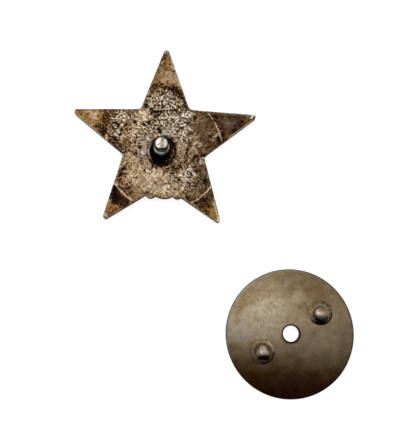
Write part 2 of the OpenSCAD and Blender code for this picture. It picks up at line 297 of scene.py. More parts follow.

# %% [markdown]
# ## The star's finish, charted
# Old silver isn't one colour. This star is pale and grey where it is worn, golden brown where
# thin tarnish lies, and black where dirt has stayed in its pits. The chart below gives that
# in the order in which a painter would lay it on: broad soft patches first, then strokes,
# then pits. Each patch sets four things: the tone from black to pale, how golden and how grey
# the colour leans, and how rough the metal is. Some marks are painted light: a highlight on the
# top arm's tip, highlights and shade along the worn edges, and shade in and round the seat.
# Noise bends the patches' edges, so they don't look drawn. Only the thin bright lines stay
# straight: worn metal that something has rubbed, and painted highlights on the edges.

# %% The chart
# Where, how big and how turned, then softness of the edge, tone, gold, grey, roughness
PATCHES = [
    # the middle
    (0, 0, 12, 9.5, 0, 0.3, 0.6, 0.4, 0.25, 0.6),
    (-7, 1, 4, 6, 0, 0.4, 0.63, 0.4, 0.2, 0.65),
    (-7.5, -8, 3.5, 5, 20, 0.4, 0.67, 0.4, 0.15, 0.38),
    (-3, -9.5, 4.5, 2.6, 0, 0.5, 0.72, 0.35, 0.2, 0.26),
    (1.5, 5, 5.5, 2.8, 0, 0.4, 0.57, 0.25, 0.3, 1),
    (4.6, 2.5, 1.8, 2.6, 0, 0.4, 0.69, 0.2, 0.35, 0.8),
    (5, -2.6, 1.7, 2.6, 0, 0.4, 0.58, 0.45, 0.25, 0.4),
    (-4.8, -3.2, 1.3, 2, 0, 0.4, 0.7, 0.15, 0.5, 0.35),
    (-5, 0.6, 1.4, 1.6, 0, 0.5, 0.62, 0.1, 0.55, 0.6),
    (0.4, 2.6, 3.2, 0.8, 0, 0.5, 0.62, 0, 0.8, 0.3),
    # the top arm
    (0.3, 18, 3.4, 4.6, 0, 0.25, 0.59, 0.5, 0.1, 0.25),
    (1, 17.2, 1.9, 1.5, 0, 0.6, 0.68, 0.35, 0.15, 0.1),
    (-2.4, 16.8, 0.9, 1.9, -18, 0.6, 0.47, 0.85, 0, 0.15),
    (0, 20.8, 1.8, 1.5, 0, 0.5, 0.5, 0.75, 0, 0.5),
    (0.2, 23.2, 1.5, 1.2, 0, 0.35, 0.44, 0.95, 0, 0.4),
    (-0.9, 22.9, 0.4, 0.6, 0, 0.5, 0.36, 0.6, 0.1, 0.2),
    # a painted highlight on the top arm's rounded tip
    (0.3, 25, 1.3, 0.85, 0, 0.4, 0.74, 0, 1, 0),
    (2.25, 19.4, 0.42, 5.4, 19, 0.5, 0.53, 0.1, 0.8, 0.1),
    (0.5, 14.4, 4.5, 1.3, -12, 0.6, 0.36, 0.65, 0, 0.8),
    (0, 11.1, 4.4, 2.9, 0, 0.25, 0.55, 0.25, 0.2, 1.7),
    (-3.6, 12.9, 1.2, 1.1, 30, 0.5, 0.46, 0.55, 0.1, 0.8),
    (-5.7, 7.1, 1.7, 1.5, 30, 0.4, 0.75, 0.35, 0.15, 0.35),
    (-2.1, 7.7, 1.6, 0.8, 0, 0.4, 0.24, 0.25, 0.25, 0.7),
    (1.6, 7.7, 1.8, 0.7, 0, 0.4, 0.5, 0.2, 0.35, 1),
    (6.2, 7.8, 1.4, 1.3, 0, 0.4, 0.73, 0.2, 0.35, 0.95),
    # the left arm
    (-19.6, 6.4, 4.6, 2.6, 0, 0.25, 0.68, 0.65, 0, 0.25),
    (-20.6, 6.1, 1.9, 1, -30, 0.6, 0.55, 1.3, 0, 0.3),
    (-18.3, 6.3, 1.4, 1.3, 0, 0.6, 0.73, 0.5, 0.05, 0.15),
    (-17.3, 3.6, 1.3, 0.9, -35, 0.5, 0.44, 0.7, 0, 0.6),
    (-15.1, 5.2, 1.9, 3.7, -18, 0.6, 0.29, 0.85, 0, 0.8),
    (-15.6, 1.9, 0.9, 1.1, 0, 0.4, 0.08, 0.3, 0, 0.2),
    (-17, 5, 0.8, 0.6, 0, 0.5, 0.58, 0.7, 0, 0.3),
    (-11.6, 3.7, 2.5, 4.4, -24, 0.35, 0.74, 0.3, 0.15, 1.1),
    (-9.8, 3.4, 1, 1.9, 0, 0.5, 0.46, 0.45, 0.1, 0.8),
    (-12.3, -1, 2.9, 1, -38, 0.35, 0.26, 0.5, 0.1, 0.6),
    (-9.6, -0.6, 1.6, 1.2, 0, 0.5, 0.5, 0.6, 0, 0.7),
    # the right arm
    (16.5, 4.5, 8.5, 6, 0, 0.15, 0.24, 0.4, 0.12, 0.2),
    (10.2, 4.3, 2.6, 3.4, 0, 0.4, 0.43, 0.4, 0.15, 0.3),
    (10.5, 7.5, 2.2, 0.8, 0, 0.5, 0.28, 0.3, 0.1, 0.5),
    (8.2, 6, 1.3, 1.4, 0, 0.5, 0.42, 0.45, 0.1, 0.7),
    (14.6, 6.9, 1.8, 1.3, 0, 0.5, 0.31, 0.4, 0.1, 0.25),
    (17, 5.2, 2, 1.3, 0, 0.6, 0.38, 0.2, 0.35, 0.15),
    (22, 7.1, 1.3, 0.6, 20, 0.5, 0.45, 0.8, 0, 0.15),
    (20.4, 6.3, 0.7, 0.6, 0, 0.6, 0.28, 0.3, 0.2, 0.15),
    (22.6, 7.8, 1.1, 0.6, 0, 0.5, 0.44, 0.2, 0.8, 0.1),
    (13.4, 2, 0.8, 1.4, -30, 0.5, 0.46, 0.25, 0.3, 0.5),
    (8.3, -1.9, 1.7, 1.3, 0, 0.4, 0.58, 0.35, 0.25, 0.4),
    (10.2, -1.9, 1.9, 1.3, 35, 0.4, 0.34, 0.45, 0.1, 0.6),
    (9, -3.9, 1.9, 0.9, 15, 0.4, 0.22, 0.4, 0.1, 0.5),
    (9.9, -5.3, 0.85, 1.6, -12, 0.3, 0.77, 0, 1, 0.05),
    # the lower right arm
    (10.3, -9.8, 3, 4.6, 18, 0.25, 0.4, 0.3, 0.25, 0.4),
    (8, -5.8, 1.3, 1.2, 0, 0.4, 0.36, 0.25, 0.3, 0.6),
    (3.2, -9.6, 2.2, 1.3, 0, 0.5, 0.54, 0.15, 0.4, 0.7),
    (6.2, -9.2, 2, 2.8, 10, 0.3, 0.65, 0.25, 0.25, 1.2),
    (3, -6.9, 2.6, 0.8, 15, 0.5, 0.36, 0.5, 0.05, 0.7),
    (6.8, -14.3, 2.2, 0.9, -35, 0.4, 0.42, 0.45, 0.1, 0.85),
    (10.6, -15.9, 2.4, 1.8, -30, 0.3, 0.25, 0.5, 0, 0.6),
    (12.4, -14.3, 0.9, 1.9, 20, 0.5, 0.3, 0.4, 0.2, 0.3),
    (13.1, -18, 1.1, 1.5, 20, 0.35, 0.58, 0.95, 0, 0.15),
    (11, -17.6, 1.4, 0.7, -35, 0.5, 0.38, 0.65, 0, 0.6),
    (14.4, -20.2, 0.7, 0.6, 0, 0.4, 0.8, 0.1, 0.6, 0.1),
    # the lower left arm
    (-10.4, -8.6, 1, 3.6, -12, 0.4, 0.46, 0.6, 0, 0.8),
    (-9.2, -12, 2, 1.2, -45, 0.5, 0.46, 0.5, 0.05, 0.7),
    (-7.2, -14, 2.4, 1.2, -25, 0.5, 0.53, 0.4, 0.2, 0.25),
    (-10.8, -15.6, 3.4, 1.9, -38, 0.12, 0.19, 0.7, 0, 0.35),
    (-12.4, -14.2, 1.35, 2.5, -8, 0.2, 0.03, 0.6, 0, 0.05),
    (-13.6, -16.4, 0.8, 1.4, -20, 0.3, 0.66, 0.5, 0.1, 0.12),
    (-12.9, -17.3, 1.1, 1.3, 30, 0.35, 0.64, 1, 0, 0.3),
    (-12.7, -18.7, 1.6, 0.5, 25, 0.4, 0.32, 0.8, 0, 0.5),
    (-11.4, -17.7, 1.3, 0.6, 30, 0.5, 0.55, 0.8, 0, 0.5),
    (-14.2, -19.8, 0.9, 0.7, 30, 0.35, 0.68, 0.2, 0.5, 0.12),
    # over the scroll
    (0.3, -12.2, 4.8, 2, 0, 0.25, 0.73, 0.3, 0.25, 0.28),
    (0.6, -13.5, 2.4, 0.5, 0, 0.5, 0.64, 0.45, 0.2, 0.5),
]

# Width, softness, tone, share of the tone that it lays on, and the points that it follows
STROKES = [
    # the dark shore of the rough field on the top arm
    (1, 0.9, 0.2, 0.5, [(-3.5, 13.4), (-3, 14.6), (-1.5, 15.2), (0.5, 14.7), (2, 13.9)]),
    (1.9, 0.7, 0.07, 1.2, [(2, 13.8), (3.5, 13.4), (4.5, 12.4), (5.2, 10.9), (5.8, 9.5)]),
    (0.5, 0.6, 0.12, 0.9, [(3.5, 9.4), (4.3, 9), (4.6, 8.2), (4.2, 7.5)]),
    (0.5, 0.6, 0.03, 1, [(-3.4, 8.2), (-1.2, 8.3), (0.3, 8.5), (1.8, 8.5), (3, 8.8)]),
    # worn rims of the relief
    (0.34, 0.5, 0.98, 1, [(-3.4, 8.8), (-2.6, 8.7), (-1.5, 8.75), (0, 8.95), (1.2, 8.9)]),
    (0.38, 0.5, 0.98, 1, [(-1.2, 6.5), (0.2, 6.4), (1, 6.7), (2, 6.9), (2.6, 6.5), (3.6, 6.7),
                          (4.6, 7)]),
    (0.45, 0.5, 0.96, 1, [(4.7, 7.8), (4.9, 7.1), (5.8, 6.9), (6.5, 7.1)]),
    (0.4, 0.6, 0.86, 0.9, [(0.3, 7.9), (0.7, 7.1)]),
    (0.35, 0.6, 0.8, 0.9, [(1.3, 7.9), (1.6, 7.2)]),
    (0.4, 0.6, 0.85, 0.9, [(7, 7.9), (7.2, 6.8)]),
    # where the nut's rim has rubbed
    (0.26, 0.6, 0.92, 0.9, [(11.2, 8.4), (11.9, 7.5), (12.6, 6.5)]),
    (0.3, 0.6, 0.96, 0.95, [(13.2, 5.6), (13.8, 4.3), (14.3, 3.1), (14.8, 1.8), (15.1, 0.6)]),
    (0.4, 0.6, 0.76, 0.9, [(14.2, 2.9), (13.4, 2.1), (12.8, 1.7)]),
    (0.32, 0.6, 0.93, 0.95, [(-12.4, -11.2), (-11.2, -12.6), (-9.8, -14), (-8.4, -15),
                             (-7.7, -15.5)]),
    (0.3, 0.6, 0.93, 0.95, [(12.6, -11), (11.9, -12.2), (10.8, -13.4), (9.4, -14.6),
                            (7.5, -15.7)]),
    (0.32, 0.6, 0.95, 0.95, [(-10.9, 8.2), (-13.1, 5.4)]),
    (0.28, 0.6, 0.92, 0.9, [(-10.3, 7.9), (-12.4, 5.4)]),
    (0.26, 0.7, 0.16, 0.8, [(-10.6, 8), (-12.7, 5.4)]),
    (0.42, 0.6, 0.95, 0.9, [(-14.9, 1.5), (-14.9, 0.7), (-14.6, 0)]),
    # the bright lumps on the lower right arm and by the right notch
    (0.65, 0.5, 0.92, 0.95, [(5.8, -8.2), (6.1, -7.3), (6.8, -6.9), (7.4, -7.3), (7.5, -8)]),
    (1, 0.6, 0.9, 0.9, [(4.5, -7.6), (5, -8.6), (5.4, -9.4)]),
    (0.8, 0.5, 0.88, 0.9, [(8, -8), (8.4, -8.5)]),
    (0.6, 0.6, 0.86, 0.9, [(6.6, -9.4), (5.6, -10.2), (5.3, -11.6), (5.2, -12.4)]),
    (0.5, 0.5, 0.84, 0.9, [(8.1, 0.1), (8.6, 0.3), (9, -0.1), (8.9, -0.6), (8.2, -0.6),
                           (8.1, 0.1)]),
    # pale lumps along the top of the rough field
    (0.55, 0.6, 0.8, 0.85, [(-1.9, 14.1), (-1.2, 14.1), (-0.4, 13.8)]),
    (0.6, 0.6, 0.84, 0.85, [(0, 13.8), (0.7, 13.5), (1.4, 12.8)]),
    (0.55, 0.6, 0.8, 0.85, [(2, 12), (2.8, 11.9), (3.5, 11.5)]),
    (0.55, 0.6, 0.84, 0.9, [(3.2, 11.3), (4.1, 11.2), (4.4, 10.6), (3.9, 10.1), (3.1, 10.2)]),
    (0.7, 0.6, 0.86, 0.85, [(-4.2, 11.6), (-3.5, 11), (-3.9, 10.4)]),
    (0.8, 0.6, 0.88, 1, [(-4, 10.1), (-3.4, 9.4)]),
    (0.7, 0.6, 0.86, 0.9, [(-3.1, 12.2), (-2.4, 12.5), (-1.8, 11.9)]),
    (0.65, 0.6, 0.88, 0.9, [(-1.2, 11.4), (-0.3, 11.7), (0.5, 11.2)]),
    (0.6, 0.6, 0.8, 0.85, [(1.2, 12.3), (1.9, 11.5)]),
    (0.55, 0.6, 0.82, 0.85, [(-0.2, 10.5), (0.6, 10.8), (1.5, 10.5)]),
    (0.55, 0.6, 0.8, 0.8, [(-2.8, 10.9), (-2, 10.5)]),
    (0.3, 0.6, 0.14, 0.85, [(-0.6, 13), (0.4, 12.7), (1, 12), (2.4, 11.4)]),
    (0.3, 0.6, 0.14, 0.85, [(-2.2, 10.3), (-1.4, 9.7), (-0.2, 9.6), (0.4, 10.1)]),
    # worn edges with painted light: pale highlights to the right and below, painted shade along
    # the top of the side arms
    (0.5, 0.6, 0.8, 0.5, [(0.9, 24), (4, 14.6)]),
    (0.34, 0.6, 0.91, 0.4, [(3.9, 14.8), (6.1, 9.4)]),
    (0.32, 0.6, 0.91, 0.7, [(-24.4, 7.7), (-15.3, 0.5)]),
    (0.7, 0.6, 0.12, 0.8, [(-14.3, -0.1), (-10.8, -3)]),
    (0.32, 0.6, 0.93, 0.8, [(23.2, 6.7), (16.9, 1.7)]),
    (0.5, 0.6, 0.12, 0.8, [(16.4, 1.5), (10.9, -3.1)]),
    (0.34, 0.5, 1, 1, [(22.1, 8.25), (22.9, 8.1), (23.15, 7.75), (22.6, 7.1)]),
    (0.34, 0.6, 0.1, 0.8, [(10.8, -4.2), (12.9, -11.6)]),
    (0.34, 0.6, 0.91, 0.7, [(13.2, -15.2), (14.9, -20.9)]),
    (0.34, 0.6, 0.91, 0.6, [(-10.7, -4), (-12.5, -10.8)]),
    (0.34, 0.6, 0.91, 0.6, [(-15, -21.1), (-9, -17.3)]),
    (0.34, 0.6, 0.91, 0.7, [(15, -21.1), (8, -16.6), (5.8, -15)]),
    (0.45, 0.7, 0.38, 1, [(-23.2, 7.8), (-6.6, 8.3)]),
    (0.6, 0.6, 0.14, 0.9, [(6.6, 8.75), (12, 8.5)]),
    (0.5, 0.8, 0.5, 0.85, [(12.6, 8.1), (22, 7.7)]),
    (0.4, 0.7, 0.72, 0.8, [(9, 8.75), (23.5, 8.1)]),
    (0.35, 0.6, 0.3, 0.8, [(-0.6, 25), (-6.3, 8.9)]),
    # dark runs
    (0.5, 0.6, 0.12, 0.85, [(5.4, 4.6), (6, 5), (6.4, 5.8)]),
    (0.5, 0.6, 0.14, 0.8, [(-5.9, -3.6), (-5.7, -5.2), (-5.5, -6)]),
    (0.5, 0.6, 0.16, 0.8, [(-8.5, -2.9), (-7.4, -3.3), (-6.6, -4.2)]),
    (0.9, 0.7, 0.12, 1.1, [(6.8, 0.2), (6.8, -0.8)]),
    (0.5, 0.7, 0.18, 1, [(1.3, -12.3), (2.2, -12.6), (3.4, -12.1), (4.2, -12.3)]),
    (0.5, 0.7, 0.24, 0.9, [(1.4, -10.9), (2.3, -10.8)]),
    (0.6, 0.7, 0.22, 0.9, [(1.6, 8), (2.3, 7.6)]),
    (0.6, 0.7, 0.1, 1, [(10.8, -3.3), (11.1, -4.8)]),
    (0.6, 0.7, 0.2, 0.9, [(6.1, 3.3), (6.3, 2.5)]),
    (0.5, 0.7, 0.22, 0.9, [(7.5, 1.1), (7.9, 0.3)]),
    (0.6, 0.7, 0.22, 0.9, [(-3.3, -7.4), (-2.8, -7.8)]),
    (0.5, 0.8, 0.3, 0.7, [(-8, -10.2), (-7.5, -9.5)]),
    # painted shade along the seat's edge, upper right and below
    (0.6, 0.6, 0.04, 0.95, [(3.2, -0.6), (2.9, 0.3), (2.2, 1), (1.2, 1.5), (0.2, 1.7)]),
    (0.6, 0.6, 0.04, 1.3, [(-4.2, -3.5), (-3.7, -4.5), (-2.9, -5.4), (-1.7, -6.1), (-0.4, -6.3),
                           (1, -6), (2.2, -5.3)]),
    (0.9, 0.4, 0.02, 1.6, [(-2.9, -4.9), (-2.1, -5.5), (-1.2, -5.85), (-0.2, -5.95),
                           (0.9, -5.75)]),
    (0.7, 0.7, 0.12, 1.1, [(-2.8, -6.4), (-1.7, -6.9)]),
]

# Pits: where, how big and how turned
PITS = [
    (-4.8, 9.55, 0.5, 0.52, 0), (-3.6, 8.7, 0.4, 0.3, 0), (-3.2, 7.9, 0.5, 0.35, 20),
    (2.1, 19.1, 0.25, 0.2, 20), (-1.3, 22.2, 0.25, 0.4, 30), (-1.4, 3.4, 0.55, 0.35, 0),
    (-1.1, 2.7, 0.45, 0.3, 0), (-0.2, 3.5, 0.25, 0.25, 0), (-7.6, 5, 0.4, 0.4, 0),
    (-5.3, 4.4, 0.35, 0.5, 30), (-4, 5.1, 0.35, 0.4, 0), (-6.1, -1.6, 0.4, 0.45, 0),
    (-4, -1.8, 0.35, 0.35, 0), (-7.2, 1, 0.3, 0.25, 0), (4.5, 3.8, 0.4, 0.3, 0),
    (3.5, 3.1, 0.35, 0.25, 0), (6.3, -1.8, 0.25, 0.5, 0), (6, -2.7, 0.2, 0.4, 0),
    (8.2, -3.7, 0.4, 0.35, 0), (7.8, 6.7, 0.5, 0.35, -30), (6.9, 2.6, 0.4, 0.3, 0),
    (8.6, -0.4, 0.25, 0.25, 0), (-13.05, 4.7, 0.45, 0.35, 0), (-12, 4.5, 0.4, 0.3, 20),
    (-13.05, 3.3, 0.3, 0.25, 0), (-11, 2.9, 0.35, 0.5, 0), (-11.6, 1.5, 0.3, 0.4, 0),
    (-12.3, 0.2, 0.35, 0.25, 0), (-7, -3.2, 0.35, 0.25, 0), (-4.7, -7.7, 0.3, 0.35, 0),
    (-10.3, -7.4, 0.6, 0.35, 0), (-11, -9, 0.35, 0.5, 0), (-9, -12.5, 0.4, 0.2, 0),
    (-6.9, -9.6, 0.25, 0.15, 20), (13.4, 7.1, 0.35, 0.4, 0), (18, 3.7, 0.6, 0.3, 40),
    (20.3, 6.1, 0.4, 0.3, 0), (14.1, 1.2, 0.5, 0.45, 0), (15.2, 2.6, 0.25, 0.5, 0),
    (11.9, -0.9, 0.3, 0.5, 0), (10.3, -3.2, 0.5, 0.35, 20), (2.5, -8.2, 0.25, 0.3, 0),
    (7.4, -8.3, 0.35, 0.4, 0), (8.6, -7.5, 0.35, 0.3, 0), (4, -9.9, 0.35, 0.3, 0),
    (-1.9, -10.8, 0.4, 0.15, 10), (-2.9, -12.4, 0.3, 0.15, 20), (2.2, -11.8, 0.25, 0.15, -20),
    (1.1, -13.4, 0.25, 0.15, 0), (-3.7, -13.5, 0.3, 0.2, 0), (0.6, -11, 0.35, 0.12, 0),
    (11, -9.8, 0.4, 0.7, -20), (6.6, -14.6, 0.4, 0.25, -30), (10.9, -14.9, 0.35, 0.3, 0),
]

# %% [markdown]
# ## Reading the chart
# One function turns the chart into fields over the star: tone, gold, grey, and the height of
# the relief. Tone and height share the same noise, because dirt collects in what lies low and
# wear brightens what stands high. That link is what makes a surface look old and not dyed.

# %% The fields over the star
# In mm: how far noise of three sizes bends the patches' edges, how far it shifts strokes and
# pits, how wide the turned edge is, and how far apart the rings in the seat are
BEND_SLOW, BEND_QUICK, BEND_FINE, SHIFT = 0.32, 0.20, 0.18, 0.12
EDGE_W, RING_GAP = 0.30, 0.45
# A stroke is dark up to the first tone: dirt, and painted shade on the edges and round the seat.
# It loses its gold above the second, and above the third it is a thin line, worn metal and, on
# the edges, a painted highlight.
CLEAN, PALE, WORN_THIN = 0.5, 0.7, 0.9
# What each kind of noise or mark does to the tone, and to the height in mm. A pit has its own
# tone, and so have the seat, painted black as shade and tarnish, its rings, painted as
# highlights, and its lip.
WORM_TONE, WORM_Z = 0.36, 0.085
GRAIN_TONE, GRAIN_Z = 0.10, 0.03
MOTTLE_TONE, MOTTLE_Z = 0.06, 0.012
BROAD_TONE, BROAD_Z = 0.035, 0.035
SPECK_TONE, SPECK_Z = 0.32, 0.1
PIT_TONE, PIT_SOFT, PIT_Z = 0.05, 0.5, 0.3
EDGE_TONE, SEAT_SHADE_AND_TARNISH_TONE, RING_HIGHLIGHT_TONE, LIP_TONE = 0.12, 0.03, 0.50, 0.85
LEVEL_Z, HIGHEST_Z = -0.08, 0.05


def star_fields(x, y):
    """Patches, strokes and pits laid one on the other, with noise on their edges and between.
    Strokes above WORN_THIN are metal worn bright, and on the edges painted highlights: they keep
    their thin straight lines."""
    slow = [noise(seed, 2.2, x, y) for seed in (11, 12)]
    quick = [noise(seed, 0.9, x, y) for seed in (13, 14)]
    fine = [noise(seed, 0.5, x, y, 0.4) for seed in (15, 16)]
    bent = [at + BEND_SLOW * slow[k] + BEND_QUICK * quick[k] + BEND_FINE * fine[k]
            for k, at in enumerate((x, y))]
    shifted = [x + SHIFT * quick[0], y + SHIFT * quick[1]]

    # Pale lumps with thin dark lines between them: the lines follow a slow noise's zeros
    lines = np.exp(-(noise(26, 2.2, x, y, 0.4) / 0.38) ** 2)
    worms = 0.8 * np.tanh(noise(21, 0.9, x, y, 0.5) + 0.5) - 1.2 * lines + 0.14
    grain = noise(22, 0.5, x, y)
    mottle = noise(23, 1.7, x, y, 0.4)
    broad = noise(24, 5.0, x, y, 0.4)
    specks = ease(1.5, 2.4, noise(25, 0.8, x, y))

    tone, gold, grey, rough = (np.full(x.shape, v) for v in (0.5, 0.4, 0.2, 0.4))
    paint((tone, gold, grey, rough), PATCHES, *bent)
    tone = (tone + rough * (WORM_TONE * worms - 0.03 + GRAIN_TONE * grain) + 0.035 * grain
            + MOTTLE_TONE * mottle * (0.3 + rough) + BROAD_TONE * broad)
    tone -= SPECK_TONE * specks * ease(0.15, 0.6, rough)
    for width, soft, value, strength, points in STROKES:
        share = strength * trace(*((x, y) if value > WORN_THIN else shifted), width, soft, points)
        uneven = 0.92 + 0.08 * worms if value > CLEAN else 0.7 - 0.3 * worms
        share = np.clip(share * uneven, 0, 1)
        tone += (value - tone) * share
        if value > PALE:
            gold -= 0.6 * gold * share
            grey += (0.25 - grey) * share
    tone += EDGE_TONE * ease(EDGE_W, 0.05, from_edge(x, y))
    pits = np.zeros(x.shape)
    for pit in PITS:
        pits = np.maximum(pits, spot(*shifted, *pit, PIT_SOFT))
    tone += (PIT_TONE - tone) * pits * 0.95

    # The sunken seat is painted black for its deep shade and its tarnish, with painted highlights
    # on a few turned rings at its lower right, and a lip that is worn pale on its left
    off_x, off_y = x - POST_AT[0], y - POST_AT[1]
    seat_r, seat_a = np.hypot(off_x, off_y), np.degrees(np.arctan2(off_y, off_x))
    seat = ease(SEAT_R + 0.12, SEAT_R - 0.1, seat_r + 0.05 * quick[0])
    rings = ease(0.0, 1.0, np.sin(2 * np.pi * seat_r / RING_GAP) + 0.7 * worms)
    rings = rings * spot(seat_a, seat_r, -33, 3.45, 50, 0.8, 0, 0.5)
    worn_lip = spot(seat_a % 360, seat_r, 180, SEAT_R, 50, 0.43, 0, 0.3)
    tone += (SEAT_SHADE_AND_TARNISH_TONE + RING_HIGHLIGHT_TONE * rings + LIP_TONE * worn_lip - tone) * seat

    relief = (LEVEL_Z + rough * (WORM_Z * worms + GRAIN_Z * grain) + BROAD_Z * broad
              + MOTTLE_Z * mottle - PIT_Z * pits - SPECK_Z * specks * rough)
    return {"tone": np.clip(tone, 0, 1), "gold": gold, "grey": 0.8 * grey,
            "relief": np.minimum(relief, HIGHEST_Z)}


# %% [markdown]
# ## The star's skin
# The back is five kites: centre, notch, tip and notch again. A kite is a bilinear patch of
# two parameters, and its rows crowd together towards the edge, where the metal turns over.
# A stretch along the rays then carries the sharp star to its true outline. The side wall is
# a stack of outlines. The front is made of rings that start as the outline and end as a
# circle round the medallion, with half as many points, for nobody looks that closely at it.

# %% The back, as five kites
KITE_STEPS = 116
# Distances from the edge, in mm: where the even rows end, and the last rows after them
EVEN_TO = 0.40
EDGE_ROWS = np.array([0.30, 0.21, 0.13, 0.07, 0.03, 0.008, 0.0])
# How far the star's straight sides pass from its centre
side_r = ARM_REACH * np.sin(TIP_HALF[0])
along = np.concatenate([np.linspace(0, 1 - EVEN_TO / side_r, KITE_STEPS + 1 - len(EDGE_ROWS)),
                        1 - EDGE_ROWS / side_r])
# Powers: a worn tip draws in only what is next to it, a notch's fill or a lobe draws out more
TIP_POWER, LOBE_POWER = 9, 4
EDGE_DROP = 0.22
LIP_DEPTH, LIP_W = 0.12, 0.3
FLOOR_RING_Z, FLOOR_RING_GAP = 0.04, 0.5


def ray(r, angle):
    """The point at a distance and a direction from the centre: r cos and r sin."""
    return np.stack([r * np.cos(angle), r * np.sin(angle)], -1)


def kite(i):
    """(1-u)(1-v) centre + u(1-v) notch + (1-u)v next notch + uv tip, then out to the outline."""
    u, v = along[:, None, None], along[None, :, None]
    before = ray(NOTCH_R[i - 1], ARM_ANGLE[i] - HALF_STEP)
    after = ray(NOTCH_R[i], ARM_ANGLE[i] + HALF_STEP)
    flat = u * (1 - v) * before + (1 - u) * v * after + u * v * ray(REACH[i], ARM_ANGLE[i])
    angle, r = np.arctan2(flat[..., 1], flat[..., 0]), np.hypot(flat[..., 0], flat[..., 1])
    angle = np.mod(angle - ARM_ANGLE[0], 2 * np.pi) + ARM_ANGLE[0]
    sharp = sharp_outline(angle)
    grown = outline(angle) / sharp - 1
    power = np.where(grown < 0, TIP_POWER, LOBE_POWER)
    return ray(r * (1 + grown * (r / sharp) ** power), angle)


def sharp_wall(off, wall_r, catch, split):
    """Draws the points within a catch of a round wall onto two circles, a split inside it and
    outside it, so that the wall is sharp. Gives their distances from its middle, too."""
    r = np.hypot(off[..., 0], off[..., 1])
    drawn = np.where(np.abs(r - wall_r) < catch, wall_r + split * np.sign(r - wall_r), r)
    return off * (drawn / np.maximum(r, NEARLY_ZERO))[..., None], r, drawn


def back_height(x, y, relief):
    """The back's level: relief, less the turned edge, less the seat and its worn lip."""
    edge = np.clip(1 - from_edge(x, y) / EDGE_W, 0, 1)
    drop = EDGE_DROP * (1 - np.sqrt(1 - edge ** 2))
    r = np.hypot(x - POST_AT[0], y - POST_AT[1])
    lip = LIP_DEPTH * (1 - ease(0, LIP_W, r - SEAT_R))
    level = relief * (1 - edge) * ease(-0.1, 0.5, r - SEAT_R) - drop - lip
    floor = -SEAT_DEPTH + FLOOR_RING_Z * np.cos(2 * np.pi * r / FLOOR_RING_GAP)
    return BACK_Z + np.where(r < SEAT_R, floor, level)


kites = np.stack([kite(i) for i in range(ARMS)])
back_flat = POST_AT + sharp_wall(kites - POST_AT, SEAT_R, catch=0.09, split=0.015)[0]
back_x, back_y = back_flat[..., 0], back_flat[..., 1]
fields = star_fields(back_x, back_y)
back = np.stack([back_x, back_y, back_height(back_x, back_y, fields["relief"])], -1)
back_faces = [cells(back_x.shape[1:], i * back_x[0].size) for i in range(ARMS)]

# %% The side wall and the front
# Inset from the outline and share of the way down, for each row of the wall
WALL_ROWS = [(0.0, 0.06), (0.0, 0.35), (0.0, 0.7), (0.0, 0.9), (0.05, 0.97), (0.14, 1.0)]
# The front's rings: across the border by their inset, over the arms in even steps, and over the
# medallion by their radius
BORDER_INSETS = [0.4, 0.9, 1.24, 1.30, 1.36, 1.5]
ARM_RINGS = 8
MEDALLION_RINGS = [9.04, 8.97, 8.85, 7.94, 7.88, 7.34, 7.27, 6.2, 4.6, 3.0, 1.5]
# The wall's foot has the front's level at this inset. A lean's cosine counts as this or more. The
# ridges climb towards this much over the front's level, which cuts them off before the border.
FOOT_INSET, LEAST_LEAN, RIDGE_PAST = 0.3, 0.3, 0.2


def edge_loop(grids):
    """Once round the five grids' outer edges, each u = 1 edge and then its v = 1 edge back."""
    return np.concatenate([np.concatenate([g[-1, :-1], g[:0:-1, -1]]) for g in grids])


def front_level(x, y):
    """The lowest of border, ridges, medallion and scroll, each with a short slope at its edge."""
    angle = np.mod(np.arctan2(y, x) - ARM_ANGLE[0], 2 * np.pi) + ARM_ANGLE[0]
    r, sharp = np.hypot(x, y), sharp_outline(angle)
    inset = (1 - r / sharp) * side_r
    rise = (FRONT_Z - RIDGE_Z + RIDGE_PAST) / (1 - BORDER_W / side_r)
    ridge = np.minimum(RIDGE_Z + rise * r / sharp, FRONT_Z)
    border = FRONT_Z - (FRONT_Z - BORDER_Z) * ease(BORDER_W + 0.05, BORDER_W - 0.03, inset)
    coin = FRONT_Z * ease(MEDALLION_R - 0.06, MEDALLION_R + 0.06, r)
    groove = GROOVE_Z * ease(GROOVE_W / 2 + 0.05, GROOVE_W / 2 - 0.03, np.abs(r - GROOVE_R))
    lobes = np.max([lobe_r - np.hypot(x - lx, y - ly) for lx, ly, lobe_r in LOBES], axis=0)
    scroll = FRONT_Z - (FRONT_Z - SCROLL_Z) * ease(-0.05, 0.1, lobes)
    return np.minimum.reduce([ridge, border, np.maximum(coin, groove), scroll])


loop = edge_loop(back)
loop = np.concatenate([loop, loop[:1]])
loop_x, loop_y, loop_z = loop.T
loop_angle, loop_r = np.arctan2(loop_y, loop_x), np.hypot(loop_x, loop_y)
loop_lean = np.interp(np.mod(loop_angle, 2 * np.pi), TABLE_A, TABLE_LEAN)


def inset_loop(inset, pick=slice(None)):
    """The outline moved inwards: each ray gets shorter by the inset over the side's lean."""
    return ray((loop_r - inset / np.maximum(loop_lean, LEAST_LEAN))[pick], loop_angle[pick])


foot_z = front_level(*inset_loop(FOOT_INSET).T)
wall = [loop]
for inset, down in WALL_ROWS:
    wall.append(np.column_stack([inset_loop(inset), loop_z + (foot_z - loop_z) * down]))
wall = np.stack(wall)

half = slice(None, None, 2)
rings = [inset_loop(inset, half) for inset in BORDER_INSETS]
inner_r = np.hypot(*rings[-1].T)
for share in np.linspace(0, 1, ARM_RINGS)[1:]:
    rings.append(ray(inner_r + (MEDALLION_RINGS[0] - inner_r) * share, loop_angle[half]))
rings += [ray(np.full(len(inner_r), r), loop_angle[half]) for r in MEDALLION_RINGS[1:]]
rings.append(np.zeros((len(inner_r), 2)))
rings = np.stack(rings)
front = np.concatenate([rings, front_level(rings[..., 0], rings[..., 1])[..., None]], -1)

